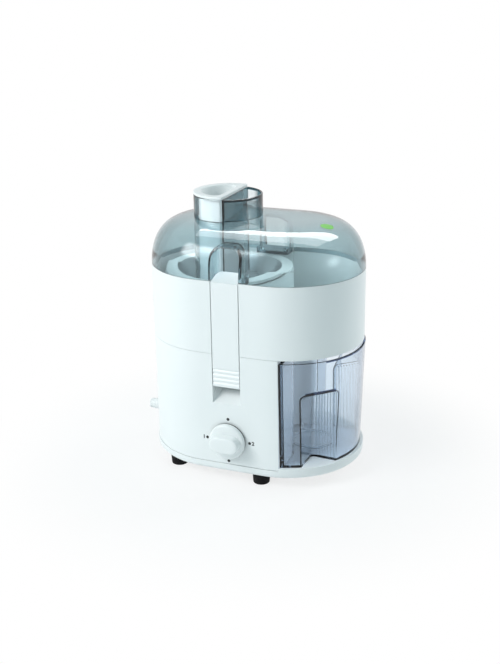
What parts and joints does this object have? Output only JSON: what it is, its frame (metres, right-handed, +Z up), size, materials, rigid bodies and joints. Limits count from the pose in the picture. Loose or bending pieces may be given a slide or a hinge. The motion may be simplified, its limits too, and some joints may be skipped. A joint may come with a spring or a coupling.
{
  "type": "centrifugal juicer",
  "caption": "Free-standing centrifugal juicer with a clear domed lid, feed chute and pusher, latched collector, motor base with selector knob and a slide-out juice cup.",
  "frame": {"origin": "on the table under the middle of the body's oblong outline", "axes": "+Z up, +X towards the juice cup, -Y towards the front with the selector knob"},
  "size_m": [0.2628, 0.1883, 0.3106],
  "materials": {
    "white_body": "cool white moulded plastic, fine satin gloss",
    "white_latch": "cool white moulded plastic",
    "white_knob": "cool white moulded plastic",
    "basket_white": "white moulded plastic",
    "lid_clear": "smoky clear plastic",
    "cup_clear": "smoky lavender clear plastic",
    "foot_rubber": "black rubber",
    "seal_rubber": "dark rubber",
    "screw_steel": "zinc plated steel",
    "screen_steel": "perforated stainless steel",
    "bearing_steel": "ground steel",
    "bracket_metal": "die cast aluminium",
    "lamination": "varnished steel laminations",
    "copper_wire": "enamelled copper",
    "carbon": "pressed carbon",
    "black_plastic": "black moulded plastic",
    "gland_plastic": "white flexible plastic"
  },
  "bodies": {
    "base": {"base_tray": "white_body", "foot_front_left": "foot_rubber", "foot_rear_left": "foot_rubber", "foot_front_right": "foot_rubber", "foot_rear_right": "foot_rubber", "base_screws": "screw_steel", "motor_housing": "white_body", "collector": "white_body", "shaft_seal": "seal_rubber", "upper_bracket": "bracket_metal", "lower_bracket": "bracket_metal", "tie_screws": "screw_steel", "stator_core": "lamination", "field_coils": "copper_wire", "brush_holders": "black_plastic", "brushes": "carbon", "upper_bearing": "bearing_steel", "lower_bearing": "bearing_steel", "motor_mounts": "seal_rubber", "motor_screws": "screw_steel", "rotary_switch": "black_plastic", "switch_nut": "screw_steel", "cord_gland": "gland_plastic", "front_latch_pin": "screw_steel", "back_latch_pin": "screw_steel"},
    "rotor": {"motor_shaft": "bearing_steel", "armature_core": "lamination", "armature_windings": "copper_wire", "commutator": "copper_wire", "cooling_fan": "black_plastic", "drive_coupling": "black_plastic", "basket_frame": "basket_white", "filter_screen": "screen_steel", "grater_disc": "screen_steel"},
    "lid": {"lid": "lid_clear", "feed_chute": "lid_clear"},
    "pusher": {"pusher": "white_latch"},
    "front_latch": {"front_latch": "white_latch"},
    "back_latch": {"back_latch": "white_latch"},
    "knob": {"selector_knob": "white_knob", "switch_spindle": "black_plastic"},
    "cup": {"juice_cup": "cup_clear"}
  },
  "joints": [
    {"name": "basket_spin", "type": "hinge", "parent": "base", "child": "rotor", "pos_m": [-0.034, 0, 0.15], "axis": [0, 0, 1], "continuous": true},
    {"name": "lid_lift", "type": "slide", "parent": "base", "child": "lid", "axis": [0, 0, 1], "range_m": [0, 0.11]},
    {"name": "pusher_slide", "type": "slide", "parent": "lid", "child": "pusher", "axis": [0, 0, 1], "range_m": [0, 0.095]},
    {"name": "front_latch_swing", "type": "hinge", "parent": "base", "child": "front_latch", "pos_m": [-0.00525, -0.077, 0.138], "axis": [1, 0, 0], "range_deg": [0, 25]},
    {"name": "back_latch_swing", "type": "hinge", "parent": "base", "child": "back_latch", "pos_m": [-0.00525, 0.077, 0.138], "axis": [-1, 0, 0], "range_deg": [0, 25]},
    {"name": "knob_turn", "type": "hinge", "parent": "base", "child": "knob", "pos_m": [-0.004, -0.085, 0.0514], "axis": [0, -1, 0], "range_deg": [-90, 90]},
    {"name": "cup_slide", "type": "slide", "parent": "base", "child": "cup", "axis": [1, 0, 0], "range_m": [0, 0.12]}
  ]
}
